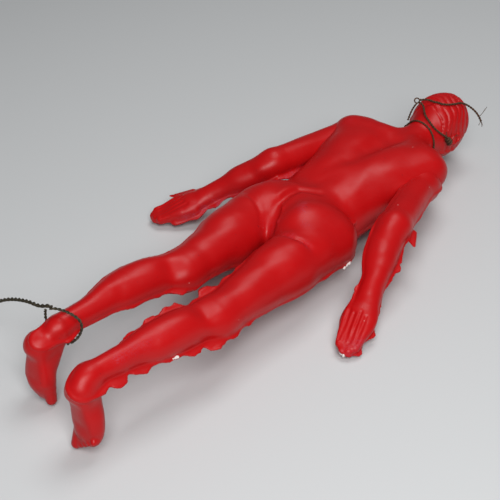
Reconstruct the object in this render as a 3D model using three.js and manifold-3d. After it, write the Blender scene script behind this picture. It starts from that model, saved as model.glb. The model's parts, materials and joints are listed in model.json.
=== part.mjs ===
// A one-fifth scale bendable grappling figure, lying face down: a red moulded skin in a back half and a
// front half over white foam, on a wire armature, with rigging wires at the neck and the left ankle.
// Millimetres. +X runs to the head, +Y to the figure's left, +Z up from the table it lies on.
import * as THREE from 'three';
import { mergeVertices } from 'three/addons/utils/BufferGeometryUtils.js';
import Module from 'manifold-3d';

const manifold = await Module();
manifold.setup();

// Driving dimensions
const SKIN = 1.0; // thickness of the moulded skin
const GAP = 0.3; // clearance between neighbouring pieces
const CHANNEL_RUNOUT = 1.6; // how far an armature channel runs past its rod
const BONE_RADIUS = 1.6; // armature rod
const SPINE_RADIUS = 2.2;
const AROUND = 12; // sides of a limb section
const TORSO_AROUND = 16; // sides of a torso or head section
const NECK_WIRE = 1.5; // braided picture wire
const ANKLE_WIRE = 1.6; // iron tying wire
const EYE_RADIUS = 1.7; // middle of the hanging eye's wire
const CENTRING = new THREE.Vector3(0.8, -3.2, 0); // puts the origin under the middle of the figure

// Joint centres, before centring
const JOINTS = {
  neck: [125, 1.2, 27],
  shoulderLeft: [104, 38, 30],
  shoulderRight: [100.5, -35.5, 30],
  elbowLeft: [46, 45.5, 34],
  elbowRight: [42, -54.5, 35],
  wristLeft: [9, 71, 15],
  wristRight: [-1, -71.5, 16],
  fingersLeft: [-19, 89.5, 3.8],
  fingersRight: [-33, -82.5, 3.8],
  hipLeft: [-7, 16.5, 27],
  hipRight: [1, -26.5, 27],
  kneeLeft: [-69, 1, 37],
  kneeRight: [-84, -38, 36],
  ankleLeft: [-148.5, 9.5, 43],
  ankleRight: [-162, -34, 44],
  toesLeft: [-167, 13, -0.4],
  toesRight: [-179, -33, -0.4],
};
const at = (name) => new THREE.Vector3(...JOINTS[name]);
const UP = new THREE.Vector3(0, 0, 1);

const figure = new THREE.Group();
figure.position.copy(CENTRING);

const FINISHES = {
  skin: new THREE.MeshStandardMaterial({ color: 0xb3121c, roughness: 0.38, metalness: 0 }),
  foam: new THREE.MeshStandardMaterial({ color: 0xefece4, roughness: 0.9, metalness: 0 }),
  rod: new THREE.MeshStandardMaterial({ color: 0xa9abad, roughness: 0.4, metalness: 1 }),
  neckWire: new THREE.MeshStandardMaterial({ color: 0x54331d, roughness: 0.7, metalness: 0.6 }),
  ankleWire: new THREE.MeshStandardMaterial({ color: 0x463f35, roughness: 0.7, metalness: 0.7 }),
};

function addNode(name, geometry, finish) {
  const mesh = new THREE.Mesh(geometry, FINISHES[finish].clone());
  mesh.name = name;
  figure.add(mesh);
}

// Sections. A section is a ring of points around a middle point: wide to both sides, back and front deep.
function section(point, direction, wide, back, front, lateral = null) {
  const ahead = direction.clone().normalize();
  const side = lateral ?? new THREE.Vector3().crossVectors(UP, ahead).normalize();
  const rise = new THREE.Vector3().crossVectors(ahead, side).normalize();
  return { point: point.clone(), ahead, side, rise, wide, back, front };
}

function ringPoint(ring, angle, inset, lift = 0, floor = 0) {
  const depth = Math.sin(angle) >= 0 ? ring.back : ring.front;
  const p = ring.point.clone();
  p.addScaledVector(ring.side, Math.cos(angle) * Math.max(ring.wide - inset, 0.2));
  p.addScaledVector(ring.rise, Math.sin(angle) * Math.max(depth - inset, 0.2) + lift);
  p.z = Math.max(p.z, floor);
  return p;
}

// Closed solids from loops of points
function solid(triangles) {
  const position = [];
  for (const triangle of triangles) {
    for (const p of triangle) position.push(p.x, p.y, p.z);
  }
  let geometry = new THREE.BufferGeometry();
  geometry.setAttribute('position', new THREE.Float32BufferAttribute(position, 3));
  geometry = mergeVertices(geometry, 1e-4);
  const index = geometry.index.array;
  const kept = [];
  let volume = 0;
  const [a, b, c] = [new THREE.Vector3(), new THREE.Vector3(), new THREE.Vector3()];
  for (let i = 0; i < index.length; i += 3) {
    const [i0, i1, i2] = [index[i], index[i + 1], index[i + 2]];
    if (i0 === i1 || i1 === i2 || i2 === i0) continue;
    kept.push([i0, i1, i2]);
    a.fromBufferAttribute(geometry.attributes.position, i0);
    b.fromBufferAttribute(geometry.attributes.position, i1);
    c.fromBufferAttribute(geometry.attributes.position, i2);
    volume += a.dot(b.clone().cross(c));
  }
  if (volume < 0) kept.forEach((t) => t.reverse());
  geometry.setIndex(kept.flat());
  geometry.computeVertexNormals();
  return geometry;
}

// leftward(j) says whether the loop runs the positive way round at point j, so that an outer and an inner
// surface split their quads along the same diagonal and keep their distance
function loftLoops(loops, capStart, capEnd, leftward = () => true) {
  const triangles = [];
  const count = loops[0].length;
  for (let row = 0; row + 1 < loops.length; row++) {
    const [near, far] = [loops[row], loops[row + 1]];
    for (let j = 0; j < count; j++) {
      const k = (j + 1) % count;
      if (leftward(j)) triangles.push([near[j], near[k], far[k]], [near[j], far[k], far[j]]);
      else triangles.push([near[j], near[k], far[j]], [near[k], far[k], far[j]]);
    }
  }
  return solid([...triangles, ...capStart(loops[0], true), ...capEnd(loops.at(-1), false)]);
}

function fanCap(loop, flip) {
  const triangles = [];
  for (let j = 1; j + 1 < loop.length; j++) {
    triangles.push(flip ? [loop[0], loop[j + 1], loop[j]] : [loop[0], loop[j], loop[j + 1]]);
  }
  return triangles;
}

// The cap of a half skin's loop: its first half is the outer arc and its second half the inner arc, reversed
function wallCap(loop, flip) {
  const triangles = [];
  const last = loop.length - 1;
  for (let j = 0; j + 1 < loop.length / 2; j++) {
    const quad = [loop[j], loop[j + 1], loop[last - j - 1], loop[last - j]];
    if (flip) quad.reverse();
    triangles.push([quad[0], quad[1], quad[2]], [quad[0], quad[2], quad[3]]);
  }
  return triangles;
}

const tipPoint = (ring, length) => ring.point.clone().addScaledVector(ring.ahead, length);

// One half of the moulded skin: the back half for half = 1, the front half for half = -1
function halfSkin(rings, around, tip, half) {
  const steps = around / 2;
  const lift = half * GAP / 2;
  const angles = Array.from({ length: steps + 1 }, (_, j) => half * Math.PI * j / steps);
  const loops = rings.map((ring) => [
    ...angles.map((angle) => ringPoint(ring, angle, 0, lift)),
    ...angles.toReversed().map((angle) => ringPoint(ring, angle, SKIN, lift, SKIN)),
  ]);
  if (tip) {
    const last = rings.at(-1);
    const outer = tipPoint(last, tip).addScaledVector(last.rise, lift);
    const inner = tipPoint(last, tip - SKIN).addScaledVector(last.rise, lift);
    loops.push([...angles.map(() => outer), ...angles.map(() => inner)]);
  }
  const leftward = (j) => (j <= steps) === (half > 0);
  return loftLoops(loops, wallCap, tip ? () => [] : wallCap, leftward);
}

function filledLoft(rings, around, inset, tip, floor = 0) {
  const angles = Array.from({ length: around }, (_, j) => 2 * Math.PI * j / around);
  const loops = rings.map((ring) => angles.map((angle) => ringPoint(ring, angle, inset, 0, floor)));
  if (tip) {
    const end = tipPoint(rings.at(-1), tip);
    loops.push(angles.map(() => end));
  }
  return loftLoops(loops, fanCap, tip ? () => [] : fanCap);
}

// A round rod along a line of points, with flat ends
function rod(points, radius, sides = 8) {
  const curve = new THREE.CurvePath();
  for (let i = 0; i + 1 < points.length; i++) curve.add(new THREE.LineCurve3(points[i], points[i + 1]));
  const rings = points.map((p, i) => {
    const ahead = points[Math.min(i + 1, points.length - 1)].clone().sub(points[Math.max(i - 1, 0)]);
    const level = Math.abs(ahead.z) < 0.9 * ahead.length();
    const side = level ? null : new THREE.Vector3(0, -1, 0);
    return section(p, ahead, radius, radius, radius, side);
  });
  const angles = Array.from({ length: sides }, (_, j) => 2 * Math.PI * j / sides);
  const loops = rings.map((ring) => angles.map((angle) => ringPoint(ring, angle, 0, 0, -Infinity)));
  return loftLoops(loops, fanCap, fanCap);
}

function toManifold(geometry) {
  const bare = geometry.clone();
  bare.deleteAttribute('normal');
  const merged = mergeVertices(bare, 1e-4);
  const mesh = new manifold.Mesh({
    numProp: 3,
    vertProperties: new Float32Array(merged.attributes.position.array),
    triVerts: new Uint32Array(merged.index.array),
  });
  return new manifold.Manifold(mesh);
}

function fromManifold(body) {
  const mesh = body.getMesh();
  const geometry = new THREE.BufferGeometry();
  geometry.setAttribute('position', new THREE.Float32BufferAttribute(mesh.vertProperties, 3));
  geometry.setIndex(Array.from(mesh.triVerts));
  geometry.computeVertexNormals();
  return geometry;
}

// One rigid length of the body: two skin halves, the foam in them and the armature rods in the foam.
// Each rod is a list of points, and runs past the foam's open ends only in the channel cut for it.
function bodySegment(name, rings, { around = AROUND, tip = 0, rods, rodRadius = BONE_RADIUS }) {
  addNode(`${name}_back_skin`, halfSkin(rings, around, tip, 1), 'skin');
  addNode(`${name}_front_skin`, halfSkin(rings, around, tip, -1), 'skin');
  const inset = SKIN + GAP;
  let foam = toManifold(filledLoft(rings, around, inset, tip ? tip - inset : 0, inset));
  let armature = null;
  for (const points of rods) {
    const piece = toManifold(rod(points, rodRadius));
    armature = armature ? armature.add(piece) : piece;
    foam = foam.subtract(toManifold(rod(extended(points), rodRadius + GAP)));
  }
  addNode(`${name}_foam_core`, fromManifold(foam), 'foam');
  addNode(`${name}_armature`, fromManifold(armature), 'rod');
}

// The same line made longer at both ends, so that its channel breaks through the foam's cut faces
function extended(points) {
  const first = points[0].clone().sub(points[1]).setLength(CHANNEL_RUNOUT).add(points[0]);
  const last = points.at(-1).clone().sub(points.at(-2)).setLength(CHANNEL_RUNOUT).add(points.at(-1));
  return [first, ...points.slice(1, -1), last];
}

const along = (from, to, fraction) => from.clone().lerp(to, fraction);

// Torso: [x, y, z, wide, back, front], from the hips to the neck
const TORSO = [
  [0, -4.5, 27, 36.5, 21, 19],
  [12, -2.5, 27, 35.5, 25, 20.5],
  [26, -0.5, 26, 32, 20.5, 20.5],
  [42, 0.5, 25, 28.5, 15.5, 20.5],
  [58, 1, 24.5, 31, 17, 22],
  [75, 1.2, 24, 30, 21.5, 27.5],
  [90, 1.5, 24, 27.2, 23, 27.5],
  [101, 1.5, 24.5, 22.5, 20.5, 22],
  [111, 1.2, 25.5, 18, 15, 16],
  [119, 1.2, 26.5, 13, 13, 13],
];
const PELVIS_TURN = new THREE.Vector3(0.98, 0.19, 0);
const HEADWARD = new THREE.Vector3(1, 0, 0);

function torso() {
  const rings = TORSO.map(([x, y, z, wide, back, front], i) => {
    const turn = i === 0 ? PELVIS_TURN : HEADWARD;
    return section(new THREE.Vector3(x, y, z), turn, wide, back, front);
  });
  const [hipLeft, hipRight] = [at('hipLeft'), at('hipRight')];
  const spineFoot = new THREE.Vector3(9, -3, 27);
  const shoulderHub = new THREE.Vector3(96, 1.5, 27);
  const outLeft = hipLeft.clone().add(new THREE.Vector3(3.5, 0.7, 0));
  const outRight = hipRight.clone().add(new THREE.Vector3(5.5, 1, 0));
  const rods = [
    [new THREE.Vector3(118.6, 1.2, 26.5), shoulderHub, spineFoot],
    [shoulderHub.clone().setY(-19), shoulderHub.clone().setY(22)],
    [outLeft, new THREE.Vector3(9, 16, 27), new THREE.Vector3(9, -21, 27), outRight],
  ];
  bodySegment('torso', rings, { around: TORSO_AROUND, rods, rodRadius: SPINE_RADIUS });
}

// Head and upper neck: [x, z, wide, back, front]
const HEAD = [
  [131, 26.5, 12.4, 12.6, 12.6],
  [137, 27, 12.4, 12.6, 13],
  [143, 28.5, 14.6, 16.2, 18],
  [150, 30, 16.5, 19.8, 20.5],
  [158, 30.5, 17, 21.3, 21.5],
  [167, 30.5, 15.5, 19.5, 19.8],
  [175, 30.5, 11, 13.8, 14],
];
const CROWN_TIP = 5.6;

function head() {
  const middle = 1.5;
  const rings = HEAD.map(([x, z, wide, back, front]) =>
    section(new THREE.Vector3(x, middle, z), HEADWARD, wide, back, front));
  const neckRod = [new THREE.Vector3(131.4, middle, 26.5), new THREE.Vector3(160, middle, 30)];
  bodySegment('head', rings, { around: TORSO_AROUND, tip: CROWN_TIP, rods: [neckRod] });
}

// A limb between two joints: [fraction, wide, back, front]
function limbRings(from, to, profile) {
  const direction = to.clone().sub(from);
  return profile.map(([fraction, wide, back, front]) =>
    section(along(from, to, fraction), direction, wide, back, front));
}

const SIDES = ['Left', 'Right'];
const SHOULDER_START = 0.14;
const UPPER_ARM = [[SHOULDER_START, 10.8, 12.6, 13], [0.4, 10.4, 11.6, 12], [0.7, 9.4, 10, 10], [0.87, 9, 9.2, 9.2]];

function upperArm(side) {
  const [shoulder, elbow] = [at(`shoulder${side}`), at(`elbow${side}`)];
  const rings = limbRings(shoulder, elbow, UPPER_ARM);
  const rods = [[along(shoulder, elbow, SHOULDER_START + 0.01), along(shoulder, elbow, 0.86)]];
  bodySegment(`upper_arm_${side.toLowerCase()}`, rings, { rods });
}

// Forearm and hand in one: the hand is a flat mitt with its palm down
const FOREARM = [[0.18, 9.2, 9, 9], [0.4, 10.4, 8.8, 8.8], [0.72, 9, 7, 7]];
const HAND = [[0, 7.8, 5.6, 5.6], [0.3, 10.2, 5, 5], [0.6, 11.4, 4.6, 4.6], [0.9, 8.4, 3.4, 3.4]];
const FINGER_TIP = 3.2;

function forearm(side) {
  const [elbow, wrist, fingers] = [at(`elbow${side}`), at(`wrist${side}`), at(`fingers${side}`)];
  const rings = [...limbRings(elbow, wrist, FOREARM), ...limbRings(wrist, fingers, HAND)];
  const rods = [[along(elbow, wrist, 0.19), wrist, along(wrist, fingers, 0.3)]];
  bodySegment(`forearm_${side.toLowerCase()}`, rings, { tip: FINGER_TIP, rods });
}

const THIGH_START = 0.09;
const THIGH = [[THIGH_START, 18.6, 20, 18.5], [0.35, 17.6, 18.5, 17.5], [0.65, 14.6, 15, 14.5], [0.88, 12.4, 12.6, 12.6]];

function thigh(side) {
  const [hip, knee] = [at(`hip${side}`), at(`knee${side}`)];
  const rings = limbRings(hip, knee, THIGH);
  const rods = [[along(hip, knee, THIGH_START + 0.01), along(hip, knee, 0.87)]];
  bodySegment(`thigh_${side.toLowerCase()}`, rings, { rods });
}

// Shin and foot in one: the foot hangs from the ankle with its toes on the table and its sole to the rear
const SHIN = [[0.11, 12.2, 12.4, 12.4], [0.35, 12.2, 12.6, 12], [0.62, 9.8, 10, 9.8], [0.86, 7, 7.4, 7.2]];
const HEEL_BACK = new THREE.Vector3(-8, 0, -1.5);
const HEEL_SLOPE = new THREE.Vector3(-0.75, 0, -0.66);
const FOOT = [[0.28, 7.8, 10.5, 8], [0.55, 9.6, 8.5, 6.5], [0.82, 11, 6, 5]];
const TOE_TIP = 6.5;

function shin(side) {
  const [knee, ankle, toes] = [at(`knee${side}`), at(`ankle${side}`), at(`toes${side}`)];
  const shinRings = limbRings(knee, ankle, SHIN);
  const across = shinRings.at(-1).side;
  const heel = ankle.clone().add(HEEL_BACK);
  const down = toes.clone().sub(heel);
  const rings = [...shinRings, section(heel, HEEL_SLOPE, 7.2, 9.5, 8, across)];
  for (const [fraction, wide, back, front] of FOOT) {
    rings.push(section(along(heel, toes, fraction), down, wide, back, front, across));
  }
  const rods = [[along(knee, ankle, 0.12), along(knee, ankle, 0.97)]];
  bodySegment(`shin_${side.toLowerCase()}`, rings, { tip: TOE_TIP, rods });
}

// Flex sleeves: solid foam and skin over the bare wire, between the rigid lengths
function sleeve(name, rings) {
  addNode(name, filledLoft(rings, AROUND, 0, 0), 'skin');
}

function endRing(point, direction, [, wide, back, front], clearance) {
  const moved = point.clone().addScaledVector(direction.clone().normalize(), clearance);
  return section(moved, direction, wide, back, front);
}

function limbSleeve(name, joint, before, beforeEnd, beforeSize, after, afterStart, afterSize) {
  const [middle, near, far] = [at(joint), at(before), at(after)];
  const inward = middle.clone().sub(near);
  const outward = far.clone().sub(middle);
  const first = endRing(along(near, middle, beforeEnd), inward, beforeSize, GAP);
  const last = endRing(along(middle, far, afterStart), outward, afterSize, -GAP);
  const turn = inward.normalize().add(outward.normalize());
  const size = [0, 1, 2, 3].map((i) => (beforeSize[i] + afterSize[i]) / 2);
  sleeve(name, [first, endRing(middle, turn, size, 0), last]);
}

function sleeves() {
  const neckFront = [0, 12.6, 12.6, 12.6];
  sleeve('neck_flex_sleeve', [
    endRing(new THREE.Vector3(119, 1.2, 26.5), HEADWARD, neckFront, GAP),
    endRing(new THREE.Vector3(131, 1.5, 26.5), HEADWARD, [0, 12.2, 12.4, 12.4], -GAP),
  ]);
  for (const side of SIDES) {
    const label = side.toLowerCase();
    const out = side === 'Left' ? 1 : -1;
    limbSleeve(`elbow_flex_sleeve_${label}`, `elbow${side}`, `shoulder${side}`, 0.87, UPPER_ARM.at(-1),
      `wrist${side}`, 0.18, FOREARM[0]);
    limbSleeve(`knee_flex_sleeve_${label}`, `knee${side}`, `hip${side}`, 0.88, THIGH.at(-1),
      `ankle${side}`, 0.11, SHIN[0]);

    const [shoulder, elbow] = [at(`shoulder${side}`), at(`elbow${side}`)];
    const armward = elbow.clone().sub(shoulder);
    const root = new THREE.Vector3(shoulder.x, 1.5 + out * 26.8, 28);
    sleeve(`shoulder_flex_sleeve_${label}`, [
      section(root, new THREE.Vector3(0, out, 0), 7, 8, 8),
      section(shoulder, new THREE.Vector3(-1, out, 0), 11, 11, 11),
      endRing(along(shoulder, elbow, SHOULDER_START), armward, UPPER_ARM[0], -GAP),
    ]);

    const [hip, knee] = [at(`hip${side}`), at(`knee${side}`)];
    const thighward = knee.clone().sub(hip);
    const turn = PELVIS_TURN.clone().normalize();
    const toPelvis = new THREE.Vector3(...TORSO[0].slice(0, 3)).sub(hip).dot(turn) - 2 * GAP;
    const pelvisEdge = hip.clone().addScaledVector(turn, toPelvis);
    sleeve(`hip_flex_sleeve_${label}`, [
      section(pelvisEdge, turn.negate(), 14, 14, 14),
      endRing(along(hip, knee, THIGH_START), thighward, THIGH[0], -GAP),
    ]);
  }
}

// Rigging wires. Each route is a line of points in order from its fixed end.
const points = (list) => list.map(([x, y, z]) => new THREE.Vector3(x, y, z));
function wire(name, route, diameter, finish, steps) {
  const outline = new THREE.Shape();
  outline.absarc(0, 0, diameter / 2, 0, 2 * Math.PI, false);
  const path = new THREE.CatmullRomCurve3(points(route));
  const geometry = new THREE.ExtrudeGeometry(outline, { steps, curveSegments: 4, extrudePath: path });
  geometry.deleteAttribute('uv');
  geometry.deleteAttribute('normal');
  addNode(name, mergeVertices(geometry, 1e-4), finish);
}

const NECK_LOOP_RADIUS = 13.9;
const NECK_LOOP_MIDDLE = new THREE.Vector3(135, 1.5, 26.6);
const EYE_MIDDLE = new THREE.Vector3(142, 9, 52.6);
const NECK_LEAD = [[136.4, 8.6, 40.2], [138, 8.8, 43.5], [140, 8.9, 47], [141.1, 9, 49.4]];
const CORD_A = [[144.1, 8.3, 53.6], [147, 4, 53.8], [151, -1.5, 53.4], [156, -6, 52.2], [162, -8.6, 50.2],
  [168, -9.4, 47], [173.5, -9.8, 42.4], [177.4, -11.6, 37.4], [179, -14, 33.6]];
const CORD_A_END = [[179.1, -14.4, 33.2], [179.3, -15.4, 31.4], [179.2, -16.6, 29.4], [179, -17.4, 27.4]];
const CORD_B = [[143, 7, 51.4], [143, 4.4, 49.7], [140.2, 0.6, 46.2], [138.8, -4, 43.6], [138.8, -8.8, 40],
  [141.4, -12.6, 36.2], [143.4, -15.2, 34]];
const CORD_B_KNOT = [[143.5, -15.5, 33.7], [144.4, -16.6, 32.2], [145.4, -16.8, 30.2], [146, -16.6, 28.4]];
const ANKLE_LOOP = [[-149.6, 12.6, 51.6], [-147.2, 8.5, 52], [-145, 2, 51.6], [-143.2, -3.4, 48.6], [-144, -4.6, 43.6],
  [-146.6, -2.4, 38], [-148.6, 3, 34.2], [-149.4, 9.5, 33.2], [-149.4, 15.6, 35.2], [-149, 19, 40.4],
  [-149.2, 18, 46.2], [-149.6, 16.6, 48.6]];
const ANKLE_TAIL = [[-150.4, 15.6, 52], [-149.6, 20, 49.6], [-147.2, 27, 44.2], [-146, 37, 38.6], [-145, 47.6, 31.4],
  [-143.8, 57.6, 23.6], [-143, 66.8, 16.4], [-143.8, 75.6, 9.8], [-145.6, 84, 4.8], [-148.6, 91.6, 2.1],
  [-152.4, 97, 1.6]];

function wires() {
  const collar = new THREE.TorusGeometry(NECK_LOOP_RADIUS, NECK_WIRE / 2, 6, 32);
  collar.rotateY(Math.PI / 2);
  collar.translate(...NECK_LOOP_MIDDLE);
  const eye = new THREE.TorusGeometry(EYE_RADIUS, NECK_WIRE * 0.4, 6, 16);
  eye.rotateY(Math.PI / 3);
  eye.translate(...EYE_MIDDLE);
  for (const [name, ring] of [['neck_wire_loop', collar], ['hanging_eye', eye]]) {
    ring.deleteAttribute('uv');
    ring.deleteAttribute('normal');
    addNode(name, mergeVertices(ring, 1e-3), 'neckWire');
  }
  wire('neck_wire_lead', NECK_LEAD, NECK_WIRE, 'neckWire', 4);
  wire('neck_wire_long', CORD_A, NECK_WIRE, 'neckWire', 16);
  wire('neck_wire_frayed_end', CORD_A_END, NECK_WIRE * 1.5, 'neckWire', 3);
  wire('neck_wire_short', CORD_B, NECK_WIRE, 'neckWire', 12);
  wire('neck_wire_knot', CORD_B_KNOT, NECK_WIRE * 1.9, 'neckWire', 3);
  wire('ankle_wire_loop', ANKLE_LOOP, ANKLE_WIRE, 'ankleWire', 26);
  wire('ankle_wire_tail', ANKLE_TAIL, ANKLE_WIRE * 1.35, 'ankleWire', 22);
}

torso();
head();
for (const side of SIDES) {
  upperArm(side);
  forearm(side);
  thigh(side);
  shin(side);
}
sleeves();
wires();

export default figure;
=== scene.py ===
"""The looks of a prone one-fifth scale bendable figure: red moulded skin with mould flash, white foam
where it is chipped, and rigging wires at the neck and the left ankle. Sizes are in millimetres until a
mesh is made."""
import json
import math

import bpy
import numpy as np
import openvdb
from mathutils import Matrix, Vector


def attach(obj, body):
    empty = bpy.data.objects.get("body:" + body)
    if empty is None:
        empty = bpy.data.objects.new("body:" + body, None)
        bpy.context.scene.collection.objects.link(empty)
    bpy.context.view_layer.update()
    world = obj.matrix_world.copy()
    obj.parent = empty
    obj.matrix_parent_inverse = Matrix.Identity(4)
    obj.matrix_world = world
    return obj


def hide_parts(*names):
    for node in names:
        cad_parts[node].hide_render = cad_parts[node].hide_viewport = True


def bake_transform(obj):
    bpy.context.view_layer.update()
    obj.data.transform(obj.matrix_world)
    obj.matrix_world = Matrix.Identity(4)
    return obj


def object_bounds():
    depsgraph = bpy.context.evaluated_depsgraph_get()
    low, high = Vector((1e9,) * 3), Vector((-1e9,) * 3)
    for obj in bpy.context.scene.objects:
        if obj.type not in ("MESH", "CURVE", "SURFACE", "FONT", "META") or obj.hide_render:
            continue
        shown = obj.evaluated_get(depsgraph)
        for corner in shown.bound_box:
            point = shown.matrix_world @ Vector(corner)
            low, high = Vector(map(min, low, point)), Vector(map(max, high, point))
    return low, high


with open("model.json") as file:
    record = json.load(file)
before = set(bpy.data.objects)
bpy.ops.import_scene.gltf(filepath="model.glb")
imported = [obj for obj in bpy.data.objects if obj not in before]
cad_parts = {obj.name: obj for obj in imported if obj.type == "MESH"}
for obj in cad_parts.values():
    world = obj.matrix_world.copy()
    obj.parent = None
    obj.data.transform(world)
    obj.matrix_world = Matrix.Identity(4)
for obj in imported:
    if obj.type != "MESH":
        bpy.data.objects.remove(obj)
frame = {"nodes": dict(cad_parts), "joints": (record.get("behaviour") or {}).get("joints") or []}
cad_low, cad_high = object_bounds()

MM = 0.001
SEED = 7
JOINT = {j["name"]: np.array(j["pos_m"]) / MM for j in frame["joints"]}
LEFT, RIGHT = 1, -1
SIDE_NAME = {LEFT: "left", RIGHT: "right"}


def vec(x, y, z):
    return np.array([x, y, z], float)


def between(a, b, t):
    return a + (b - a) * t


def unit(v):
    return v / np.linalg.norm(v)


# Landmarks, from the joint centres
NECK = JOINT["neck_lift"]
SHOULDER = {s: JOINT[f"shoulder_{SIDE_NAME[s]}_spread"] for s in (LEFT, RIGHT)}
ELBOW = {s: JOINT[f"elbow_{SIDE_NAME[s]}_bend"] for s in (LEFT, RIGHT)}
HIP = {s: JOINT[f"hip_{SIDE_NAME[s]}_spread"] for s in (LEFT, RIGHT)}
KNEE = {s: JOINT[f"knee_{SIDE_NAME[s]}_bend"] for s in (LEFT, RIGHT)}
WRIST = {LEFT: ELBOW[LEFT] + vec(-37, 25.5, -19), RIGHT: ELBOW[RIGHT] + vec(-43, -17, -19)}
FINGERS = {LEFT: WRIST[LEFT] + vec(-30, 20, -10.6), RIGHT: WRIST[RIGHT] + vec(-31.5, -11.2, -11.6)}
ANKLE = {LEFT: KNEE[LEFT] + vec(-79.5, 8.5, 6), RIGHT: KNEE[RIGHT] + vec(-78, 4, 8)}
TOES = {LEFT: ANKLE[LEFT] + vec(-17.5, 3.5, -40), RIGHT: ANKLE[RIGHT] + vec(-16.5, 1, -41)}
BASE = vec(0.8, -3.2, 0)  # the pelvis centre's place on the table


# ---------------------------------------------------------------- camera and light
def make_camera():
    azimuth, elevation, roll = math.radians(-43.5), math.radians(36.0), math.radians(-2.4)
    distance, target = 0.6324, Vector((-0.0203, -0.0032, 0.025))
    back = Vector((math.sin(azimuth) * math.cos(elevation), -math.cos(azimuth) * math.cos(elevation),
                   math.sin(elevation)))
    right = (-back).cross(Vector((0, 0, 1))).normalized()
    up = right.cross(-back)
    turned_right = right * math.cos(roll) + up * math.sin(roll)
    turned_up = up * math.cos(roll) - right * math.sin(roll)
    data = bpy.data.cameras.new("camera")
    data.lens, data.sensor_width = 79.2, 36.0
    data.clip_start, data.clip_end = 0.01, 20
    camera = bpy.data.objects.new("camera", data)
    bpy.context.scene.collection.objects.link(camera)
    turn = Matrix((turned_right, turned_up, back)).transposed().to_4x4()
    camera.matrix_world = Matrix.Translation(target + back * distance) @ turn
    bpy.context.scene.camera = camera


make_camera()


# ---------------------------------------------------------------- node helpers
def new_material(name):
    material = bpy.data.materials.new(name)
    material.use_nodes = True
    tree = material.node_tree
    tree.nodes.clear()
    output = tree.nodes.new("ShaderNodeOutputMaterial")
    shader = tree.nodes.new("ShaderNodeBsdfPrincipled")
    tree.links.new(shader.outputs["BSDF"], output.inputs["Surface"])
    return material, tree, shader


def add(tree, kind, **values):
    node = tree.nodes.new(kind)
    for key, value in values.items():
        setattr(node, key, value)
    return node


def feed(tree, value, socket):
    if isinstance(value, bpy.types.NodeSocket):
        tree.links.new(value, socket)
    else:
        socket.default_value = value


def math_node(tree, operation, a, b=None, clamp=False):
    node = add(tree, "ShaderNodeMath", operation=operation, use_clamp=clamp)
    feed(tree, a, node.inputs[0])
    if b is not None:
        feed(tree, b, node.inputs[1])
    return node.outputs[0]


def noise(tree, scale, detail=3.0, roughness=0.5, stretch=None):
    """Noise on object coordinates; scale is in features per metre."""
    place = add(tree, "ShaderNodeTexCoord").outputs["Object"]
    if stretch:
        mapping = add(tree, "ShaderNodeMapping")
        mapping.inputs["Scale"].default_value = stretch
        tree.links.new(place, mapping.inputs["Vector"])
        place = mapping.outputs["Vector"]
    node = add(tree, "ShaderNodeTexNoise")
    tree.links.new(place, node.inputs["Vector"])
    node.inputs["Scale"].default_value = scale
    node.inputs["Detail"].default_value = detail
    node.inputs["Roughness"].default_value = roughness
    return node.outputs["Fac"]


def ramp(tree, value, low, high, start=0.0, end=1.0):
    node = add(tree, "ShaderNodeMapRange", clamp=True)
    tree.links.new(value, node.inputs["Value"])
    for key, number in (("From Min", low), ("From Max", high), ("To Min", start), ("To Max", end)):
        node.inputs[key].default_value = number
    return node.outputs["Result"]


def mix_colour(tree, share, first, second):
    node = add(tree, "ShaderNodeMix", data_type="RGBA")
    feed(tree, share, node.inputs[0])
    feed(tree, first, node.inputs[6])
    feed(tree, second, node.inputs[7])
    return node.outputs[2]


# ---------------------------------------------------------------- materials
SKIN_RED = (0.455, 0.0035, 0.0045, 1)
SKIN_DEEP = (0.27, 0.0022, 0.0040, 1)
SKIN_SCUFF = (0.40, 0.085, 0.14, 1)
FLECK_WHITE = (0.78, 0.55, 0.53, 1)
FLECK_DARK = (0.10, 0.010, 0.016, 1)
FOAM_SHADED = (0.72, 0.66, 0.62, 1)
FOAM_LIT = (0.90, 0.88, 0.85, 1)


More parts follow.
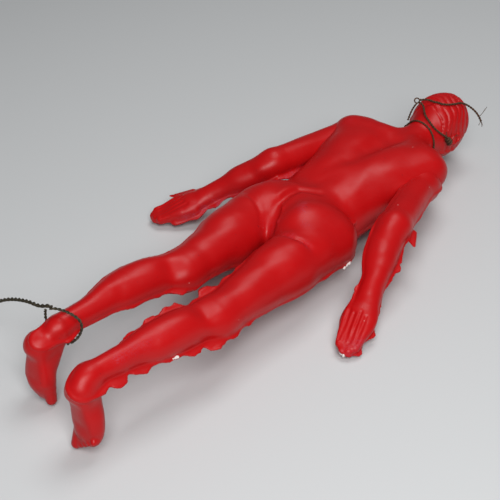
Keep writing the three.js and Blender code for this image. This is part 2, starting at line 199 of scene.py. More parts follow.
def red_skin():
    material, tree, shader = new_material("red_skin")
    broad = ramp(tree, noise(tree, 28, 2), 0.35, 0.7)
    colour = mix_colour(tree, math_node(tree, "MULTIPLY", broad, 0.22), SKIN_RED, SKIN_DEEP)
    wear = add(tree, "ShaderNodeAttribute", attribute_name="wear").outputs["Fac"]
    speckle = ramp(tree, noise(tree, 1500, 4, 0.7), 0.46, 0.62)
    patches = ramp(tree, noise(tree, 160, 4, 0.6), 0.35, 0.62)
    scuff = math_node(tree, "MULTIPLY", wear, math_node(tree, "MULTIPLY", speckle, patches))
    colour = mix_colour(tree, math_node(tree, "MULTIPLY", scuff, 0.8), colour, SKIN_SCUFF)
    dots = add(tree, "ShaderNodeTexVoronoi", feature="F1")
    tree.links.new(add(tree, "ShaderNodeTexCoord").outputs["Object"], dots.inputs["Vector"])
    dots.inputs["Scale"].default_value = 190
    small = ramp(tree, dots.outputs["Distance"], 0.045, 0.085, 1.0, 0.0)
    picked = ramp(tree, dots.outputs["Color"], 0.80, 0.84)
    fleck = math_node(tree, "MULTIPLY", small, picked)
    colour = mix_colour(tree, math_node(tree, "MULTIPLY", fleck, 0.55), colour, FLECK_WHITE)
    pits = ramp(tree, noise(tree, 620, 2, 0.5), 0.735, 0.76)
    colour = mix_colour(tree, math_node(tree, "MULTIPLY", pits, 0.6), colour, FLECK_DARK)
    tree.links.new(colour, shader.inputs["Base Color"])
    rough = ramp(tree, noise(tree, 240, 4, 0.65), 0.3, 0.75, 0.33, 0.44)
    rough = math_node(tree, "ADD", rough, math_node(tree, "MULTIPLY", scuff, 0.25), True)
    tree.links.new(rough, shader.inputs["Roughness"])
    shader.inputs["Specular IOR Level"].default_value = 0.25
    grain = add(tree, "ShaderNodeBump")
    grain.inputs["Strength"].default_value = 0.22
    grain.inputs["Distance"].default_value = 0.0002
    fine_grain = noise(tree, 900, 5, 0.6)
    height = math_node(tree, "ADD", fine_grain, math_node(tree, "MULTIPLY", noise(tree, 150, 3), 0.8))
    tree.links.new(height, grain.inputs["Height"])
    tree.links.new(grain.outputs["Normal"], shader.inputs["Normal"])
    return material


def white_foam():
    material, tree, shader = new_material("white_foam")
    cells = ramp(tree, noise(tree, 1300, 4, 0.7), 0.3, 0.7)
    tree.links.new(mix_colour(tree, cells, FOAM_SHADED, FOAM_LIT), shader.inputs["Base Color"])
    shader.inputs["Roughness"].default_value = 0.9
    bump = add(tree, "ShaderNodeBump")
    bump.inputs["Strength"].default_value = 0.6
    bump.inputs["Distance"].default_value = 0.0004
    tree.links.new(cells, bump.inputs["Height"])
    tree.links.new(bump.outputs["Normal"], shader.inputs["Normal"])
    return material


def wire_metal(name, dark, light, metallic):
    material, tree, shader = new_material(name)
    rust = ramp(tree, noise(tree, 700, 5, 0.65), 0.35, 0.65)
    tree.links.new(mix_colour(tree, rust, dark, light), shader.inputs["Base Color"])
    tree.links.new(ramp(tree, rust, 0, 1, 0.45, 0.75), shader.inputs["Roughness"])
    shader.inputs["Metallic"].default_value = metallic
    bump = add(tree, "ShaderNodeBump")
    bump.inputs["Strength"].default_value = 0.35
    bump.inputs["Distance"].default_value = 0.0001
    tree.links.new(rust, bump.inputs["Height"])
    tree.links.new(bump.outputs["Normal"], shader.inputs["Normal"])
    return material


RED = red_skin()
FOAM = white_foam()
NECK_WIRE = wire_metal("neck_wire", (0.035, 0.020, 0.012, 1), (0.13, 0.062, 0.030, 1), 0.55)
IRON_WIRE = wire_metal("ankle_wire", (0.030, 0.026, 0.018, 1), (0.105, 0.085, 0.052, 1), 0.7)
ROD = wire_metal("armature_rod", (0.42, 0.43, 0.44, 1), (0.62, 0.63, 0.65, 1), 1.0)


# ---------------------------------------------------------------- sculpting fields
# A field gives each point's distance from a surface, negative inside it.
def rod_field(p, a, b, ra, rb, flat=None):
    """A round bar from a to b. flat = (direction, share): how much thinner it is that way."""
    line = b - a
    t = np.clip(((p - a) @ line) / (line @ line), 0, 1)
    q = p - (a + t[:, None] * line)
    if flat:
        direction, share = flat
        q = q + np.outer((q @ direction) * (1 / share - 1), direction)
    return np.sqrt((q * q).sum(1)) - (ra + (rb - ra) * t)


def egg_field(p, centre, radii, axes=None):
    q = p - centre
    if axes is not None:
        q = q @ np.array(axes).T
    radii = np.array(radii, float)
    k0 = np.sqrt(((q / radii) ** 2).sum(1))
    k1 = np.sqrt(((q / radii**2) ** 2).sum(1))
    return k0 * (k0 - 1) / np.maximum(k1, 1e-6)


def join(a, b, soft):
    h = np.clip(0.5 + 0.5 * (b - a) / soft, 0, 1)
    return b * (1 - h) + a * h - soft * h * (1 - h)


def join_all(fields, soft):
    total = fields[0]
    for field in fields[1:]:
        total = join(total, field, soft)
    return total


def line_distance(p, points):
    best = np.full(len(p), 1e9)
    for a, b in zip(points[:-1], points[1:]):
        line = b - a
        t = np.clip(((p - a) @ line) / (line @ line), 0, 1)
        q = p - (a + t[:, None] * line)
        best = np.minimum(best, (q * q).sum(1))
    return np.sqrt(best)


def furrow(p, points, depth, width):
    """A soft groove along a line of points; a negative depth raises a ridge."""
    return depth * np.exp(-((line_distance(p, points) / width) ** 2))


def at(x, y, z):
    """A point given from the pelvis centre's place on the table."""
    return BASE + vec(x, y, z)


def on_body(points):
    return [at(*q) for q in points]


Z = vec(0, 0, 1)
_noise_grid = np.random.default_rng(SEED).random((64, 64))


def patchy(x, y, size):
    """Smooth random values from 0 to 1 over a plane, in patches of about the given size."""
    u, v = x / size, y / size
    i, j = np.floor(u).astype(int), np.floor(v).astype(int)
    fu, fv = u - i, v - j
    fu, fv = fu * fu * (3 - 2 * fu), fv * fv * (3 - 2 * fv)
    pick = lambda a, b: _noise_grid[a % 64, b % 64]
    low = pick(i, j) * (1 - fu) + pick(i + 1, j) * fu
    high = pick(i, j + 1) * (1 - fu) + pick(i + 1, j + 1) * fu
    return low * (1 - fv) + high * fv


def torso_field(p):
    chest = egg_field(p, at(79, 1.3, 23.5), (40, 31, 20.5))
    parts = []
    for side, out in ((LEFT, 1.0), (RIGHT, 0.0)):
        y = lambda v: 1.2 + side * v
        flank = rod_field(p, at(92, y(22.5 + out), 27.5), at(50, y(17), 27), 13.2, 11.0)
        shoulder_end = at(106 + 2 * out, y(29.5 + 3 * out), 31.5 + out)
        trapezius = rod_field(p, at(117, y(6), 31.5), shoulder_end, 11.4, 11.6 + 0.8 * out)
        armpit_top = at(105 + out, y(28.5 + 2 * out), 30.5 + out)
        armpit = rod_field(p, armpit_top, at(82, y(27), 28), 11.8 + 0.6 * out, 10.8)
        breast = rod_field(p, at(102, y(12), 17), at(92, y(22), 17), 11, 10)
        parts += [flank, trapezius, armpit, breast]
    parts.append(rod_field(p, NECK + vec(-2, 0, 1), at(100, 1.2, 29), 12.6, 15))
    chest = join(chest, join_all(parts, 8) + 0.5, 8)
    for side, x in ((LEFT, 86), (RIGHT, 84)):
        blade = egg_field(p, at(x, 1.2 + side * 16.0, 34.0), (32, 14.5, 12.2), TURNED[side])
        chest = join(chest, blade, 10)
    waist = rod_field(p, at(62, 0.8, 25), at(20, -0.5, 26), 15.0, 16.0)
    for y0, y1, z in ((11, 11, 25), (-8, -10, 25), (-10, -15, 17.5), (12, 12, 18)):
        waist = join(waist, rod_field(p, at(58, y0, z), at(24, y1, z), 14.0, 15), 5)
    pelvis = egg_field(p, at(11, -2, 26.5), (24, 34, 19.5))
    seat = join(egg_field(p, at(9, 14, 31.5), (20, 17, 16.5)),
                egg_field(p, at(5, -20, 32.6), (22.5, 17, 18.2)), 2.5)
    field = join(join(chest, waist, 11), join(pelvis, seat, 5), 11)
    for end, depth in ((112, 2.3), (98, 2.5), (84, 1.9), (68, 1.2)):
        field = field + furrow(p, on_body([(126, 1.2, 44), (end, 1.4, 46)]), depth, 6.2)
    return field


TURNED = {s: [unit(vec(1, s * 0.22, 0)), unit(vec(-s * 0.22, 1, 0)), Z] for s in (LEFT, RIGHT)}


def thigh_field(p, side):
    hip, knee = HIP[side] + vec(12, side * 1.2, 0), KNEE[side]
    bulk = rod_field(p, hip, between(hip, knee, 0.45), 18.2, 16.0)
    lean = vec(0, 2.4 if side == LEFT else 0, -2.2)
    bulk = join(bulk, rod_field(p, between(hip, knee, 0.4), knee + lean, 16.2, 11.0), 6)
    back_low = between(hip, knee, 0.75) + vec(0, 0, 0.5)
    back = rod_field(p, between(hip, knee, 0.2) + vec(0, 0, 4), back_low, 13, 9)
    return join(bulk, back, 6)


def shin_field(p, side):
    knee, ankle = KNEE[side], ANKLE[side]
    along = unit(ankle - knee)
    across = unit(np.cross(Z, along))
    across = across * np.sign(across[1])
    axes = [along, across, np.cross(along, across)]
    lean = across * (5.0 if side == LEFT else 0.2)
    joint = egg_field(p, knee + lean * 0.55 + vec(-1, 0, -2.6), (14, 11.2, 10.2), axes)
    middle = between(knee, ankle, 0.5) + lean * 0.5
    bone = rod_field(p, knee + lean * 0.6 - vec(0, 0, 1.6), middle, 9.0, 7.6)
    low = ankle + (vec(0.5, -1.4, -2.0) if side == LEFT else vec(0, 0, -0.3))
    bone = join(bone, rod_field(p, middle, low, 7.6, 5.5), 3)
    calf = egg_field(p, between(knee, ankle, 0.34) + lean + vec(0, 0, 1.2), (28, 10.4, 10.6), axes)
    tendon_top = between(knee, ankle, 0.6) + lean * 0.4 + vec(0, 0, 4.0)
    tendon = rod_field(p, tendon_top, low + vec(-4.5, 0, 1.6), 4.2, 2.9)
    field = join_all([joint, bone, calf, tendon], 5)
    hollow = furrow(p, [knee + vec(1, -2, 10), knee + vec(-9, -3, 10)], 2.6, 6.5)
    return field + hollow


def foot_field(p, side):
    ankle, toes = ANKLE[side], TOES[side]
    heel = ankle + (vec(-12.5, 1.5, -7) if side == LEFT else vec(-6.8, -0.6, -4.2))
    toes = toes + (vec(2.2, -3.2, 0) if side == LEFT else vec(5.0, -3.5, 0))
    sole = unit(toes - heel)
    across = vec(0, 1, 0)
    front = unit(np.cross(across, sole))
    front = front if front[0] > 0 else -front
    axes = [front, across, sole]
    out = front * (-1.2 if side == LEFT else 3.0)
    parts = [egg_field(p, heel + vec(0.8, 0, 0), (6.6, 6.6, 7.2), axes)]
    low = ankle + (vec(0.5, -1.4, -2.0) if side == LEFT else vec(0, 0, -0.5))
    parts.append(rod_field(p, low, between(heel, toes, 0.38) + front * 5.0, 5.4, 6.4))
    parts.append(rod_field(p, heel + sole * 4, between(heel, toes, 0.62) + out, 6.4, 6.6, (front, 0.85)))
    parts.append(egg_field(p, between(heel, toes, 0.64) + front * 1.5 + out, (5.6, 9.4, 13), axes))
    parts.append(rod_field(p, low + vec(-1, 0, -2), heel, 5.0, 6.0))
    field = join_all(parts, 5.5) + 0.4
    inner = -side
    for k in range(5):
        reach = 0.98 - 0.06 * k - (0.012 if k == 0 else 0)
        radius = 2.9 if k == 0 else 2.1 - 0.08 * k
        place = inner * (6.0 - 3.3 * k - (0.5 if k else 0))
        tip = between(heel, toes, reach) + across * place + front * 0.6
        root = between(heel, toes, 0.76) + across * place * 0.95 + front * 1.0 + out * 0.5
        field = join(field, rod_field(p, root, tip, radius * 1.1, radius), 1.2)
    edge = [heel + across * s * 5.0 + front * (-1.5) + sole * 6 for s in (-1, 1)]
    rim = [edge[0], between(heel, toes, 0.6) - across * 7.5 - front * 2.5 + out]
    rim_far = [edge[1], between(heel, toes, 0.6) + across * 7.5 - front * 2.5 + out]
    field = field + furrow(p, rim, -0.9, 2.2) + furrow(p, rim_far, -0.9, 2.2)
    arch = [between(heel, toes, 0.25) - front * 6, between(heel, toes, 0.5) - front * 6 + out]
    return field + furrow(p, arch, 1.6, 4.5)


def head_field(p):
    centre = at(158.3, 1.5, 30.6)
    skull = egg_field(p, centre, (21.2, 16.2, 19.6))
    rear = egg_field(p, centre + vec(0, 0, 4.5), (18.5, 15.6, 16))
    jaw = rod_field(p, centre + vec(-7, 0, -6), centre + vec(-14.5, 0, -15.2), 12, 5.6)
    cheeks = egg_field(p, centre + vec(-6, 0, -10), (12.5, 12.6, 10.6))
    head = join(join(skull, rear, 4), join(jaw, cheeks, 4), 5)
    brow = rod_field(p, centre + vec(4.5, -7, -16.6), centre + vec(4.5, 7, -16.6), 3.1, 3.1)
    nose = rod_field(p, centre + vec(2.5, 0, -18.3), centre + vec(-5.5, 0, -21.6), 1.5, 2.4)
    nose = join(nose, rod_field(p, centre + vec(-6, -2.2, -20), centre + vec(-6, 2.2, -20), 1.7, 1.7), 1.5)
    chin = egg_field(p, centre + vec(-18, 0, -15.3), (4.2, 6, 4.6))
    face = join(join(head, brow, 3), join(nose, chin, 1), 2)
    for s in (-1, 1):
        socket = [centre + vec(0.2, s * 5.0, -19.3), centre + vec(0.2, s * 8.3, -18.1)]
        face = face + furrow(p, socket, 2.2, 3.1)
        lid = egg_field(p, centre + vec(-0.2, s * 6.2, -15.8), (2.3, 3.4, 2.2))
        face = join(face, lid, 0.8)
        tilt = [unit(vec(1, 0, 0.35)), vec(0, 1, 0), unit(vec(-0.35, 0, 1))]
        ear = egg_field(p, centre + vec(-4.0, s * 15.6, -2.5), (6.0, 2.6, 4.0), tilt)
        bowl = egg_field(p, centre + vec(-4.2, s * 18.2, -2.2), (3.8, 1.7, 2.4), tilt)
        face = join(face, np.maximum(ear, -bowl), 1.0)
    upper_lip = rod_field(p, centre + vec(-10.6, -3.4, -18.2), centre + vec(-10.6, 3.4, -18.2), 1.4, 1.4)
    lower_lip = rod_field(p, centre + vec(-12.6, -2.8, -17.9), centre + vec(-12.6, 2.8, -17.9), 1.5, 1.5)
    face = join(face, join(upper_lip, lower_lip, 0.4), 1.3)
    neck = rod_field(p, NECK + vec(-9, 0, 0.5), NECK + vec(20, 0, 2.0), 12.6, 11.6)
    return join(face, neck, 6) + hair_depth(p, centre)


def hair_depth(p, centre):
    """Combed grooves that sweep over the crown, and the step at the hairline."""
    q = p - centre
    hairline = q[:, 2] + 6.5 - 0.55 * np.minimum(q[:, 0] - 6, 0)
    above = np.clip((hairline - 1.5 * np.sin(q[:, 1] * 0.5)) / 1.6, 0, 1)
    over_neck = np.clip((q[:, 0] + 12.0 + 0.25 * np.abs(q[:, 1])) / 2.0, 0, 1)
    sway = 0.9 * np.sin(q[:, 1] * 0.33 + q[:, 2] * 0.2)
    sweep = q[:, 0] + 0.30 * q[:, 1] + 0.030 * (q[:, 1] - 4) ** 2 + sway
    locks = np.abs(np.sin(sweep * 0.62))
    fine = np.sin(sweep * 3.6 + 0.8 * np.sin(q[:, 1] * 0.5))
    strength = 0.55 + 0.45 * patchy(q[:, 0] + 40, q[:, 1] + 40, 9)
    return above * over_neck * strength * (1.05 * np.exp(-((locks / 0.36) ** 2)) + 0.17 * fine - 0.55)


def arm_field(p, side):
    shoulder, elbow, wrist, fingers = SHOULDER[side], ELBOW[side], WRIST[side], FINGERS[side]
    down = unit(elbow - shoulder)
    across = unit(np.cross(Z, down))
    across = across * np.sign(across[1] * side)
    axes = [down, across, np.cross(down, across)]
    lift = 1.4 if side == LEFT else 0
    centre = shoulder + (vec(1.5, -0.6, -0.6) if side == LEFT else vec(-4.5, 2.4, -2.4))
    cap = egg_field(p, centre, (12, 10.6 + 0.5 * lift, 10.8), axes)
    upper_end = elbow + vec(0, 0, lift * 0.4)
    upper = rod_field(p, centre + vec(-1.5, 0, 0.6 * lift), upper_end, 10.0 + 0.6 * lift, 9.0)
    joint = egg_field(p, elbow + vec(-1, 0, -0.4), (14, 8.4, 7.6), axes)
    inward = across * (2.6 if side == RIGHT else 0.6)
    flesh = egg_field(p, between(elbow, wrist, 0.32) - inward, (22, 9.4, 8.6), forearm_axes(side))
    lower = join(rod_field(p, elbow, between(elbow, wrist, 0.5), 8.2, 7.6),
                 rod_field(p, between(elbow, wrist, 0.5), wrist, 7.6, 6.4), 3)
    field = join_all([cap, upper, joint, flesh, lower], 3.5)
    return join(field, hand_field(p, side, wrist, fingers), 3)


def forearm_axes(side):
    along = unit(WRIST[side] - ELBOW[side])
    across = unit(np.cross(Z, along))
    return [along, across, np.cross(along, across)]


def hand_field(p, side, wrist, fingers):
    along = unit(fingers - wrist)
    across = unit(np.cross(Z, along))
    over = np.cross(along, across)
    length = np.linalg.norm(fingers - wrist) * (0.92 if side == LEFT else 1.0)
    thumb_side = across * (-1 if across[1] * side > 0 else 1)
    palm = egg_field(p, wrist + along * length * 0.40, (length * 0.42, 10.2, 5.0), [along, across, over])
    root = rod_field(p, wrist - along * 2, wrist + along * length * 0.28, 6.3, 7.6, (over, 0.70))
    field = join(palm, root, 3)
    for k, reach in enumerate((0.90, 0.97, 0.98, 0.90)):
        place = thumb_side * (6.2 - 4.1 * k)
        tip = wrist + along * length * reach + place * 0.72
        base = wrist + along * length * 0.5 + place
        field = join(field, rod_field(p, base, tip, 3.2, 2.6), 1.4)
    for k in range(4):
        gap = thumb_side * (6.4 - 3.9 * k)
        start = wrist + along * length * (0.34 + 0.05 * (k % 2)) + gap * 0.85 + over * 4.6
        field = field + furrow(p, [start, wrist + along * length * 0.86 + gap * 0.8 + over * 2.6], 0.85, 0.95)
    thumb = rod_field(p, wrist + along * length * 0.25 + thumb_side * 7.2 - over * 2.5,
                      wrist + along * length * 0.66 + thumb_side * 7.4 - over * 3.6, 3.2, 2.3)
    return join(field, thumb, 1.6)


def slit_field(p):
    """The gap between the thighs, below the crotch."""
    thigh_mid = (HIP[LEFT] + HIP[RIGHT]) / 2
    knee_mid = (KNEE[LEFT] + KNEE[RIGHT]) / 2
    along = unit(knee_mid - thigh_mid)
    across = unit(np.cross(Z, along))
    q = p - (thigh_mid + along * 22)
    return np.maximum(np.abs(q @ across - 0.6) - 0.42, np.abs(q @ along - 30) - 30)


# Where the mould flash spreads furthest: (x, y, reach around, width)
BODY_FLASH = [(-50, -21, 9, 1.6), (-62, -24, 7, 2.2), (-78, -25, 6, 6.5), (-88, -26, 5, 2.2),
              (-103, -25, 7, 5.5), (-116, -26, 7, 3.0), (-132, -28, 8, 2.2), (-71, -4, 6, 3.4),
              (-81, -4, 7, 4.4), (-92, 2, 6, 2.2), (-108, 1, 12, 1.2), (-146, 2, 6, 3.0),
              (-70, -50, 6, 1.8), (-82, -50, 6, 2.6), (-96, -51, 8, 5.0), (-107, -50, 8, 4.6),
              (-118, -48, 8, 3.0), (-138, -44, 9, 4.2), (-151, -43, 7, 6.0), (-160, -40, 6, 5.0),
              (-124, 21, 5, 2.2), (38, -35, 5, 2.6), (24, -38, 7, 2.2), (12, -41, 6, 2.8),
              (-6, -46, 8, 1.2), (166, -18, 3, 1.8), (55, -28, 9, 0.8)]
ARM_FLASH = {LEFT: [(62, 33, 8, 2.6), (57, 32, 9, 6.0), (50, 34, 9, 6.4), (40, 38, 9, 4.6), (30, 46, 9, 3.2),
                    (20, 54, 9, 3.0), (10, 61, 9, 3.4), (0, 66, 8, 3.0), (-9, 72, 6, 1.6),
                    (-16, 94, 6, 1.0), (46, 57, 6, 1.0)],
             RIGHT: [(113, -36, 3.5, 2.6), (104, -45, 6, 1.2), (88, -52, 9, 1.0), (66, -60, 8, 1.6),
                     (42, -69, 5, 3.4), (30, -73, 9, 3.8), (19, -75, 6, 3.6), (0, -82, 8, 1.8),
                     (-14, -87, 7, 2.4), (-26, -90, 5, 2.6), (30, -50, 7, 1.0), (16, -56, 8, 0.9),
                     (-4, -62, 9, 1.8)]}
# Torn flaps at the left wrist and the right elbow: (broad end, tip, its two radii, flatness)
FLAP = {LEFT: ((7, 82, 14), (-1, 93, 11.4), 5.6, 1.2, 0.22),
        RIGHT: ((50, -60, 28), (41.5, -69.5, 28), 4.0, 0.9, 0.3)}
THIN_EDGE = 0.45  # flash left all the way round
FLASH_HALF_THICKNESS = 0.62
BODY_TILT, ARM_TILT = 0.62, 0.5  # rise of the parting face for each millimetre across a limb
PARTING_REACH = 13  # how far across a limb the parting face keeps rising


def parting(p, bones, tilt):
    """The height of the mould's parting face, which leans across each limb, and the distance run along it."""
    best, height, run = np.full(len(p), 1e9), np.zeros(len(p)), np.zeros(len(p))
    passed = 0.0
    for a, b in bones:
        line = (b - a)[:2]
        reach = np.linalg.norm(line)
        t = np.clip(((p[:, :2] - a[:2]) @ line) / reach**2, 0, 1)
        q = p[:, :2] - (a[:2] + t[:, None] * line)
        distance = (q * q).sum(1)
        closer = distance < best
        turned = np.arctan2(q[:, 1] * line[0] - q[:, 0] * line[1], q @ line)
        level = a[2] + (b[2] - a[2]) * t + tilt * np.clip(q[:, 1], -PARTING_REACH, PARTING_REACH)
        best, height = np.where(closer, distance, best), np.where(closer, level, height)
        run = np.where(closer, passed + t * reach + 7 * turned, run)
        passed += reach + 31
    return height, run


def flash_field(p, body, bones, spots, tilt):
    """A thin ragged sheet around the sides, where the two mould halves met."""
    x, y = p[:, 0] - BASE[0], p[:, 1] - BASE[1]
    spread = np.full(len(p), THIN_EDGE)
    for cx, cy, around, width in spots:
        spread = np.maximum(spread, width * np.exp(-(((x - cx) ** 2 + (y - cy) ** 2) / around**2)))
    level, run = parting(p, bones, tilt)
    ragged = 0.42 + 0.72 * patchy(run, 0 * run + 3.3, 4.2) + 0.34 * patchy(run, 0 * run + 11.7, 1.8)
    level = level + 0.9 * (patchy(x, y, 7.0) - 0.5)
    return np.maximum(body - spread * ragged, np.abs(p[:, 2] - level) - FLASH_HALF_THICKNESS)


def body_bones():
    bones = [(at(174, 1.5, 27), NECK), (NECK, at(60, 1, 23)), (at(60, 1, 23), at(0, -3, 25))]
    for side in (LEFT, RIGHT):
        hip = HIP[side] + vec(12, side * 1.2, -1)
        knee, ankle = KNEE[side] - Z, ANKLE[side] - Z
        bones += [(hip, knee), (knee, ankle)]
    return bones


# Creases and soft ridges of the seat: (points along it, depth, width)
FOLDS = [([(-1, 24, 46), (-3.3, 19.1, 48), (-6.3, 8.8, 47), (-9.2, 2.1, 44.5), (-13, -2.4, 41)], 1.1, 1.5),
         ([(-16, -12, 41), (-19.5, -23, 47), (-18.5, -33, 47.5), (-14.5, -41, 44)], 1.2, 1.5),
         ([(30, -7, 44), (21.5, 0.8, 45), (12.5, 1.6, 45.6), (3.6, 0.6, 44.5), (-4, -3.5, 43.5),
           (-10, -7.0, 41), (-15, -9, 37)], 2.3, 2.8),
         ([(1.5, -3.6, 46), (-4, -6.6, 45.5), (-9.5, -9.6, 43.5)], -1.3, 1.5),
         ([(9, 3.5, 46.5), (16, 6, 46.5), (24, 8, 45)], -0.7, 3.0),
         ([(-15.5, -42, 45.5), (-14, -43.5, 44)], 0.8, 2.6)]


def body_field(p):
    field = torso_field(p)
    for side in (LEFT, RIGHT):
        leg = join(thigh_field(p, side), shin_field(p, side), 5)
        leg = join(leg, foot_field(p, side), 3.5)
        field = join(field, leg, 4)
    field = join(field, head_field(p), 4)
    for points, depth, width in FOLDS:
        field = field + furrow(p, on_body(points), depth, width)
    field = np.maximum(field, -slit_field(p))
    field = field + ripple(p)
    return join(field, flash_field(p, field, body_bones(), BODY_FLASH, BODY_TILT), 1.7)


def whole_arm_field(p, side):
    field = arm_field(p, side) + ripple(p)
    bones = [(SHOULDER[side], ELBOW[side]), (ELBOW[side], WRIST[side]), (WRIST[side], FINGERS[side])]
    field = join(field, flash_field(p, field, bones, ARM_FLASH[side], ARM_TILT), 1.5)
    broad, tip, broad_radius, tip_radius, flatness = FLAP[side]
    flap = rod_field(p, at(*broad), at(*tip), broad_radius, tip_radius, (Z, flatness))
    return join(field, flap, 1.5)


def ripple(p):
    """The slow waviness of a hand-finished casting."""
    along = np.sin(p[:, 0] * 0.21 + 1.3 * np.sin(p[:, 1] * 0.17))
    return 0.2 * (along * np.sin(p[:, 1] * 0.26 + p[:, 2] * 0.19))


# ---------------------------------------------------------------- meshes from fields
def sculpt(field, low, high, step):
    """Points and quads of the field's surface inside a box, on one fixed lattice."""
    low = np.floor(np.array(low) / step) * step
    counts = np.ceil((np.array(high) - low) / step).astype(int) + 1
    coarse = 4
    rough_counts = counts // coarse + 2
    axes = [low[i] + np.arange(rough_counts[i]) * step * coarse for i in range(3)]
    rough = np.stack(np.meshgrid(*axes, indexing="ij"), -1).reshape(-1, 3)
    values = field(rough).reshape(rough_counts)
    reach = step * coarse * 1.8 + 1.5
    near = np.abs(values) < reach * 1.6
    fine = np.repeat(np.repeat(np.repeat(values, coarse, 0), coarse, 1), coarse, 2)
    fine = fine[:counts[0], :counts[1], :counts[2]].astype(np.float32)
    wanted = near.copy()
    for axis in range(3):
        wanted |= np.roll(near, -1, axis) | np.roll(near, 1, axis)
    wanted = np.repeat(np.repeat(np.repeat(wanted, coarse, 0), coarse, 1), coarse, 2)
    wanted = wanted[:counts[0], :counts[1], :counts[2]]
    index = np.argwhere(wanted)
    for start in range(0, len(index), 400000):
        part = index[start:start + 400000]
        fine[part[:, 0], part[:, 1], part[:, 2]] = field(low + part * step)
    grid = openvdb.FloatGrid(float(reach))
    grid.copyFromArray(np.clip(fine, -reach, reach))
    points, quads = grid.convertToQuads(isovalue=0.0)
    return low + np.array(points, float) * step, np.array(quads)[:, ::-1].astype(int)


def face_piece(name, points, quads, chosen, material):
    picked = quads[chosen]
    used, flat = np.unique(picked, return_inverse=True)
    return mesh_from(name, points[used], flat.reshape(picked.shape), material)


# Worn places: (points along the middle, half width, strength)
WEAR = [([(62, 31, 27), (46, 34, 26), (34, 43, 22), (20, 54, 17), (8, 63, 13), (-8, 72, 8)], 4.2, 1.0),
        ([(8, -14, 51), (3, -20, 52), (-6, -31, 50)], 3.2, 0.8), ([(22, 18, 46), (12, 22, 47)], 4.0, 0.5),
        ([(-11, -7, 43), (-14, -10, 41)], 5.0, 0.7), ([(104, 30, 43), (98, 34, 42)], 3.4, 0.5),
        ([(-116, -40, 46), (-148, -38, 48)], 3.0, 0.5), ([(-20, -24, 48), (-15, -41, 45)], 2.6, 0.5),
        ([(-130, 13, 50), (-145, 14, 49)], 2.6, 0.6), ([(-25, -88, 8), (-32, -84, 6)], 5.0, 0.6)]


def paint_wear(mesh, points):
    worn = np.zeros(len(points))
    for line, half_width, strength in WEAR:
        distance = line_distance(points, on_body(line))
        worn = np.maximum(worn, strength * np.exp(-((distance / half_width) ** 2)))
    values = mesh.attributes.new("wear", "FLOAT", "POINT")
    values.data.foreach_set("value", worn)


def mesh_from(name, points, faces, material):
    mesh = bpy.data.meshes.new(name)
    mesh.from_pydata((points * MM).tolist(), [], faces.tolist())
    if material == RED:
        paint_wear(mesh, points)
    mesh.materials.append(material)
    mesh.shade_smooth()
    piece = bpy.data.objects.new(name, mesh)
    bpy.context.scene.collection.objects.link(piece)
    return piece


BODY_STEP = 0.75
ARM_STEP = 0.55


def bend_zone(piece):
    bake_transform(piece)


def build_body():
    low, high = np.array(cad_low) / MM - 8, np.array(cad_high) / MM + 8
    low[1], high[1] = BASE[1] - 75, BASE[1] + 60
    points, quads = sculpt(body_field, low, high, BODY_STEP)
    points[:, 2] = np.maximum(points[:, 2], 0.02)
    centre = points[quads].mean(1)
    legward = unit((KNEE[LEFT] - HIP[LEFT]) + (KNEE[RIGHT] - HIP[RIGHT]))
    crotch = (HIP[LEFT] + HIP[RIGHT]) / 2 + legward * 9
    is_head = centre[:, 0] > NECK[0] - 13
    is_leg = (centre - crotch) @ legward > 0
    pieces = {"torso_skin": ~is_head & ~is_leg, "head_skin": is_head}
    from_leg = {}
    for side in (LEFT, RIGHT):
        from_leg[side] = line_distance(centre, [HIP[side], KNEE[side], ANKLE[side], TOES[side]])
    left_share = from_leg[LEFT] < from_leg[RIGHT]
    for side, mine in ((LEFT, left_share), (RIGHT, ~left_share)):
        along = unit(KNEE[side] - HIP[side])
        beyond = (centre - between(HIP[side], KNEE[side], 0.62)) @ along > 0
        pieces[f"thigh_{SIDE_NAME[side]}_skin"] = is_leg & mine & ~beyond
        pieces[f"shin_{SIDE_NAME[side]}_skin"] = is_leg & mine & beyond
    made = {name: face_piece(name, points, quads, chosen, RED) for name, chosen in pieces.items()}
    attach(made["torso_skin"], "torso")
    bend_zone(made["head_skin"])
    for side in (LEFT, RIGHT):
        s = SIDE_NAME[side]
        along = unit(KNEE[side] - HIP[side])
        bend_zone(made[f"thigh_{s}_skin"])
        bend_zone(made[f"shin_{s}_skin"])
    return made


def build_arm(side):
    s = SIDE_NAME[side]
    ends = np.array([SHOULDER[side], ELBOW[side], WRIST[side], FINGERS[side]])
    points, quads = sculpt(lambda p: whole_arm_field(p, side), ends.min(0) - 20, ends.max(0) + 20, ARM_STEP)
    points[:, 2] = np.maximum(points[:, 2], 0.02)
    centre = points[quads].mean(1)
    down = unit(ELBOW[side] - SHOULDER[side])
    beyond = (centre - between(SHOULDER[side], ELBOW[side], 0.55)) @ down > 0
    upper = face_piece(f"upper_arm_{s}_skin", points, quads, ~beyond, RED)
    lower = face_piece(f"forearm_{s}_skin", points, quads, beyond, RED)
    bend_zone(upper)
    bend_zone(lower)
    return upper, lower


# ---------------------------------------------------------------- wires
NECK_WIDTH, ANKLE_WIDTH = 1.5, 1.6
TAIL_WIDTH = ANKLE_WIDTH * 1.35
WIRE_CLEARANCE = 0.8  # from the skin to the middle of a wire


